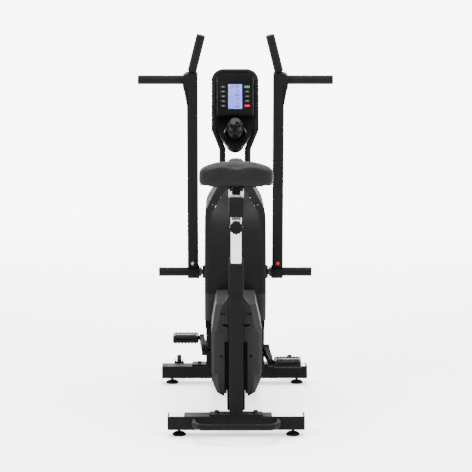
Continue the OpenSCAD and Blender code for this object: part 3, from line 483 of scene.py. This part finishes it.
disp_mid = middle("console_display")
fascia_mid = middle("console_fascia")
face = fascia_mid - inward * reach_out("console_fascia", fascia_mid)
screen = disp_mid - inward * reach_out("console_display", disp_mid)


def on_plane(origin, x, v, out=0.0):
    return origin + Vector((x, 0, 0)) + upward * v - inward * out


def plate_on(name, origin, x0, x1, v0, v1, out, thick, slot, mat=None):
    return bevelled_plate(name, [on_plane(origin, x0, v0, out), on_plane(origin, x1, v0, out),
                                 on_plane(origin, x1, v1, out), on_plane(origin, x0, v1, out)],
                          thick, "frame", slot, mat, bevel=0.0002)


ink = two_tone("lcd_ink", (0.02, 0.024, 0.10), 300, 2, (0.016, 0.02, 0.09), (0.03, 0.036, 0.14))
bright = two_tone("trim_light", (0.32, 0.32, 0.33), 90, 3, (0.05, 0.05, 0.052), (0.09, 0.09, 0.092), 0.3)

SEGMENTS = {0: "abcdef", 2: "abged", 3: "abgcd", 5: "afgcd", 8: "abcdefg"}
PLACES = {"a": (0.5, 1, 0), "g": (0.5, 0.5, 0), "d": (0.5, 0, 0), "f": (0, 0.75, 1), "b": (1, 0.75, 1),
          "e": (0, 0.25, 1), "c": (1, 0.25, 1)}


PRINT_OUT, HALF_STROKE, RULE_HALF_W, RULE_H = 0.0002, 0.0008, 0.024, 0.0005
verts, faces = [], []


def print_patch(x0, x1, v0, v1):
    """Adds one dark patch of the display's print."""
    n = len(verts)
    verts.extend(on_plane(screen, x, v, PRINT_OUT) for x, v in ((x0, v0), (x1, v0), (x1, v1), (x0, v1)))
    faces.append((n, n + 1, n + 2, n + 3))


def digit(value, x, v, w, h):
    """Prints one seven-segment figure of width w and height h."""
    for letter in SEGMENTS[value]:
        px, pv, tall = PLACES[letter]
        hw, hv = (HALF_STROKE, h * 0.2) if tall else (w * 0.36, HALF_STROKE)
        cx, cv = x + px * w, v + pv * h
        print_patch(cx - hw, cx + hw, cv - hv, cv + hv)


# Height of each row on the display, height of its figures, and the figures
ROWS = [(0.036, 0.011, (0, 0, 3, 0)), (0.018, 0.009, (2, 5)), (0.001, 0.008, (0, 8, 5)),
        (-0.015, 0.008, (2, 0)), (-0.031, 0.008, (5, 3)), (-0.046, 0.007, (0, 0, 0))]
for v, h, values in ROWS:
    for i, value in enumerate(values):
        digit(value, 0.018 - (len(values) - i) * h * 0.78, v, h * 0.45, h)
for v in (0.0325, 0.0135, -0.0035, -0.0195, -0.0355):
    print_patch(-RULE_HALF_W, RULE_HALF_W, v, v + RULE_H)
mesh_piece("display_marks", verts, faces, "frame", "display", ink, smooth=False)

EDGE_X, EDGE_HALF_W = 0.0700, 0.0004
for side, word in ((-1, "left"), (1, "right")):
    x = side * EDGE_X
    plate_on("panel_edge_" + word, face, x - EDGE_HALF_W, x + EDGE_HALF_W, -0.078, 0.076, 0.0002, 0.0006,
             "fascia", bright)

# ---------- key marks, caps and screws ----------

mark = two_tone("key_mark", (0.3, 0.3, 0.3), 120, 3, (0.12, 0.12, 0.125), (0.17, 0.17, 0.175))
# Blank mark on each key, sunk slightly into its face
MARK_HALF_W, MARK_HALF_H, MARK_THICK, MARK_SINK = 0.0042, 0.0011, 0.0004, 0.0002
cap_red = moulded("cap_red", (0.28, 0.012, 0.012), 0.4, 1500, 0.1)

for part in frame["record"]["subparts"]:
    if part["node"].startswith("key_") and part["node"][4:].isdigit():
        mid = middle(part["node"])
        origin = mid - inward * (reach_out(part["node"], mid) - MARK_SINK)
        corners = [on_plane(origin, x * MARK_HALF_W, v * MARK_HALF_H)
                   for x, v in ((-1, -1), (1, -1), (1, 1), (-1, 1))]
        bevelled_plate("mark_" + part["node"], corners, MARK_THICK, part["node"], part["material_slot"], mark,
                       bevel=0.0001)


def button(name, node, x, z, radius, height, body, slot, mat=None):
    """A domed cap on the rear face of a node."""
    hit, at, normal, _ = frame["nodes"][node].ray_cast(Vector((x, -3, z)), Vector((0, 1, 0)))
    if not hit:
        return None
    turn = normal.to_track_quat("Z", "Y")
    profile = [(1.0, -0.3), (1.0, 0.35), (0.93, 0.62), (0.76, 0.84), (0.45, 0.97), (0.0, 1.0)]
    verts, around = [], 24
    for r, h in profile[:-1]:
        for k in range(around):
            a = 2 * math.pi * k / around
            verts.append(at + turn @ Vector((radius * r * math.cos(a), radius * r * math.sin(a), height * h)))
    verts.append(at + turn @ Vector((0, 0, height)))
    faces = band_faces(len(profile) - 1, around)
    last = (len(profile) - 2) * around
    for k in range(around):
        faces.append((last + k, last + (k + 1) % around, len(verts) - 1))
    faces.append(tuple(reversed(range(around))))
    return mesh_piece(name, verts, faces, body, slot, mat)


ARM_CAP_X, ARM_CAP_Z, ARM_CAP_R, ARM_CAP_H = 0.164, 0.569, 0.007, 0.003
SCREW_X, SCREW_Z, SCREW_R, SCREW_H = 0.088, 0.790, 0.0045, 0.002
for side, word, cap in ((-1, "left", mats["steel"]), (1, "right", cap_red)):
    button("arm_cap_" + word, word + "_arm", side * ARM_CAP_X, ARM_CAP_Z, ARM_CAP_R, ARM_CAP_H, word + "_arm",
           "zinc", cap)
for side, word in ((-1, "left"), (1, "right")):
    button("panel_screw_%d" % (side + 2), "shroud_" + word, side * SCREW_X, SCREW_Z, SCREW_R, SCREW_H,
           "frame", "zinc")

# ---------- labels on the stabilizers ----------

rl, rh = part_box("rear_stabilizer")
sl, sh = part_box("front_stabilizer")


def label(name, x0, x1, y0, y1, z):
    corners = [(x0, y0, z), (x1, y0, z), (x1, y1, z), (x0, y1, z)]
    return bevelled_plate(name, corners, 0.0003, "frame", "cap_plastic", label_mat, bevel=0.0001)


label("label_rear_left", -0.244, -0.190, rl.y + 0.006, rl.y + 0.084, rh.z)
label("label_rear_right", 0.131, 0.244, rl.y + 0.006, rl.y + 0.084, rh.z)
label("label_front_right", 0.250, 0.292, sl.y + 0.010, sl.y + 0.080, sh.z)

# ---------- floor, light, camera ----------

floor_mesh = bpy.data.meshes.new("floor")
FLOOR = 30
corners = [(-FLOOR, -FLOOR, 0), (FLOOR, -FLOOR, 0), (FLOOR, FLOOR, 0), (-FLOOR, FLOOR, 0)]
floor_mesh.from_pydata(corners, [], [(0, 1, 2, 3)])
floor = bpy.data.objects.new("floor", floor_mesh)
scene.collection.objects.link(floor)
floor_mat, floor_tree, floor_shader = node_material("floor", (0.93, 0.93, 0.93), 0.8)
floor_shader.inputs["Emission Color"].default_value = (1, 1, 1, 1)
# The far floor glows like the backdrop behind it
ahead = floor_tree.nodes.new("ShaderNodeSeparateXYZ")
floor_tree.links.new(coords(floor_tree), ahead.inputs["Vector"])
floor_tree.links.new(ramp(floor_tree, ahead.outputs["Y"], 1.0, 7.0, 0.9, 5.5),
                     floor_shader.inputs["Emission Strength"])
floor_mesh.materials.append(floor_mat)

world = bpy.data.worlds.new("studio")
scene.world = world
world.use_nodes = True
background = world.node_tree.nodes["Background"]
direction = world.node_tree.nodes.new("ShaderNodeTexCoord")
split = world.node_tree.nodes.new("ShaderNodeSeparateXYZ")
world.node_tree.links.new(direction.outputs["Generated"], split.inputs["Vector"])
# The studio is brighter ahead of the bike than behind it
sky = ramp(world.node_tree, split.outputs["Y"], -0.7, 0.7, 1.2, 4.2)
backdrop = world.node_tree.nodes.new("ShaderNodeMath")
backdrop.operation = "ADD"
world.node_tree.links.new(sky, backdrop.inputs[0])
world.node_tree.links.new(ramp(world.node_tree, split.outputs["Y"], 0.88, 0.97, 0.0, 4.0), backdrop.inputs[1])
world.node_tree.links.new(backdrop.outputs["Value"], background.inputs["Strength"])
background.inputs["Color"].default_value = (1, 1, 1, 1)


def area(name, loc, target, size, power):
    light = bpy.data.lights.new(name, "AREA")
    light.energy = power
    light.size = size
    ob = bpy.data.objects.new(name, light)
    scene.collection.objects.link(ob)
    ob.location = loc
    ob.rotation_euler = (Vector(target) - Vector(loc)).to_track_quat("-Z", "Y").to_euler()
    return ob


AIM = (0, 0, 0.7)
area("key", (-2.6, -3.6, 3.4), AIM, 1.6, 260)
area("fill", (3.2, -3.0, 2.4), AIM, 1.8, 160)
area("top", (0, 0.3, 4.2), (0, 0, 0), 3.0, 420)

# Behind the bike, a little above its grips, looking slightly down
CAMERA_AT, CAMERA_DOWN, CAMERA_TURN, CAMERA_LENS = (-0.0470, -7.9686, 1.5929), 0.11481, -0.00626, 158.14
cam = bpy.data.cameras.new("camera")
cam.sensor_width = 36
cam.lens = CAMERA_LENS
cam_ob = bpy.data.objects.new("camera", cam)
scene.collection.objects.link(cam_ob)
cam_ob.location = CAMERA_AT
cam_ob.rotation_euler = (math.radians(90) - CAMERA_DOWN, 0, CAMERA_TURN)
scene.camera = cam_ob
